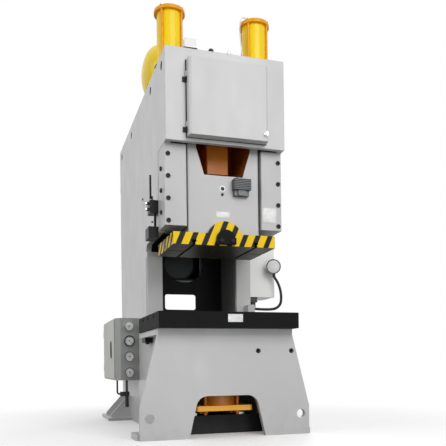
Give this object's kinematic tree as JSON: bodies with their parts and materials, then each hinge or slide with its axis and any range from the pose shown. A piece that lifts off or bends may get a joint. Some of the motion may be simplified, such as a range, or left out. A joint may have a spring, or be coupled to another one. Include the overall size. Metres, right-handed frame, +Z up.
{
  "type": "mechanical stamping press",
  "caption": "Open-front mechanical stamping press: C-shaped plate frame, crank-driven slide, slotted bolster, balance cylinders, rear flywheel, control cabinets.",
  "frame": {"origin": "floor level, in the middle of the four anchor bolt holes", "axes": "+Z up, -Y towards the operator at the front, +X to the operator's right"},
  "size_m": [1.4559, 2.812, 3.3949],
  "materials": {
    "body_grey": "light grey gloss machine paint",
    "inner_grey": "grey machine paint in shade",
    "black_steel": "blackened machined steel",
    "bright_steel": "ground steel",
    "hazard_yellow": "yellow paint with black slanted stripes",
    "gloss_yellow": "glossy yellow paint",
    "orange_yellow": "orange-yellow paint",
    "bronze": "bearing bronze",
    "black_plastic": "black",
    "rubber": "black rubber",
    "cabinet_white": "near white powder coat",
    "panel_grey": "medium grey powder coat",
    "chrome": "chromed",
    "motor_grey": "dark grey paint"
  },
  "bodies": {
    "frame": {"side_plates": "body_grey", "base_front_plate": "body_grey", "bed_plate": "body_grey", "front_anchor_pads": "body_grey", "rear_feet": "body_grey", "column_flanges": "body_grey", "cross_walls": "inner_grey", "head_front_plate": "body_grey", "head_top_plate": "body_grey", "bearing_walls": "inner_grey", "crankshaft_bushes": "bronze", "bolster": "black_steel", "bolster_screws": "black_steel", "gib_blocks": "body_grey", "gib_bolts": "black_steel", "gib_liners": "bronze", "rear_guide_bars": "bright_steel", "main_motor": "motor_grey", "motor_shelf": "inner_grey", "drive_belts": "rubber", "flywheel_guard": "body_grey", "balance_cylinders": "gloss_yellow", "balance_caps": "gloss_yellow", "air_tank": "gloss_yellow", "cover_hinge_posts": "black_steel", "air_cabinet": "panel_grey", "pressure_gauges": "chrome", "air_service_unit": "black_plastic", "air_hose": "rubber", "electric_cabinet": "cabinet_white", "lamp_arm": "bright_steel", "hand_pump": "black_steel", "oil_reservoir": "black_steel", "cushion_plate": "orange_yellow", "cushion_tie_rods": "bright_steel", "cushion_cylinder": "orange_yellow", "top_fittings": "cabinet_white", "bed_air_valve": "black_steel"},
    "slide_unit": {"slide": "body_grey", "slide_flange": "hazard_yellow", "shank_clamp": "black_steel", "shank_clamp_bolts": "black_steel", "height_gear_motor": "bright_steel", "ball_seat": "bronze", "balance_pistons": "chrome"},
    "crank_unit": {"crankshaft": "bright_steel", "clutch_brake": "bright_steel"},
    "rod_unit": {"connecting_rod": "orange_yellow", "connecting_rod_cap": "orange_yellow", "ball_screw": "bright_steel"},
    "flywheel_unit": {"flywheel": "motor_grey"},
    "pulley_unit": {"motor_pulley": "bright_steel"},
    "head_cover_unit": {"head_cover": "body_grey"},
    "cover_latch_unit": {"cover_latch": "chrome"},
    "air_door_unit": {"air_cabinet_door": "panel_grey"},
    "electric_door_unit": {"electric_cabinet_door": "cabinet_white"},
    "electric_handle_unit": {"electric_door_handle": "black_plastic"},
    "lamp_unit": {"lamp_head": "cabinet_white"},
    "lever_unit": {"pump_lever": "black_steel"},
    "cushion_unit": {"cushion_pad": "bright_steel"}
  },
  "joints": [
    {"name": "slide_stroke", "type": "slide", "parent": "frame", "child": "slide_unit", "axis": [0, 0, 1], "range_m": [-0.15, 0]},
    {"name": "crank_turn", "type": "hinge", "parent": "frame", "child": "crank_unit", "pos_m": [0, -0.8, 2.58], "axis": [0, 1, 0], "range_deg": [0, 180.01]},
    {"name": "rod_swing", "type": "hinge", "parent": "crank_unit", "child": "rod_unit", "pos_m": [0, -0.8, 2.655], "axis": [0, 1, 0], "range_deg": [-180.01, 0]},
    {"name": "flywheel_spin", "type": "hinge", "parent": "frame", "child": "flywheel_unit", "pos_m": [0, 1.365, 2.58], "axis": [0, 1, 0], "continuous": true},
    {"name": "motor_spin", "type": "hinge", "parent": "frame", "child": "pulley_unit", "pos_m": [0.04, 1.365, 1.6], "axis": [0, 1, 0], "continuous": true},
    {"name": "head_cover_swing", "type": "hinge", "parent": "frame", "child": "head_cover_unit", "pos_m": [-0.316, -1.168, 2.5], "axis": [0, 0, -1], "range_deg": [0, 110]},
    {"name": "cover_latch_turn", "type": "hinge", "parent": "head_cover_unit", "child": "cover_latch_unit", "pos_m": [0.286, -1.23, 2.293], "axis": [0, 1, 0], "range_deg": [0, 90]},
    {"name": "air_door_swing", "type": "hinge", "parent": "frame", "child": "air_door_unit", "pos_m": [-0.6898, 1.074, 0.707], "axis": [0, 0, -1], "range_deg": [0, 120]},
    {"name": "electric_door_swing", "type": "hinge", "parent": "frame", "child": "electric_door_unit", "pos_m": [0.695, -0.028, 1.465], "axis": [0, 0, 1], "range_deg": [0, 110]},
    {"name": "electric_handle_turn", "type": "hinge", "parent": "electric_door_unit", "child": "electric_handle_unit", "pos_m": [0.712, -0.277, 1.465], "axis": [1, 0, 0], "range_deg": [0, 90]},
    {"name": "lamp_swivel", "type": "hinge", "parent": "frame", "child": "lamp_unit", "pos_m": [0.682, -0.38, 1.3703], "axis": [0, 0, 1], "range_deg": [-40, 40]},
    {"name": "pump_lever_stroke", "type": "hinge", "parent": "frame", "child": "lever_unit", "pos_m": [-0.529, -0.834, 1.862], "axis": [1, 0, 0], "range_deg": [0, 50]},
    {"name": "cushion_travel", "type": "slide", "parent": "frame", "child": "cushion_unit", "axis": [0, 0, 1], "range_m": [0, 0.08]}
  ],
  "couplings": [
    {"joint": "crank_turn", "follows": "slide_stroke", "rad_per_m": -20.944},
    {"joint": "rod_swing", "follows": "slide_stroke", "rad_per_m": 20.944},
    {"joint": "motor_spin", "follows": "flywheel_spin", "ratio": 4}
  ]
}
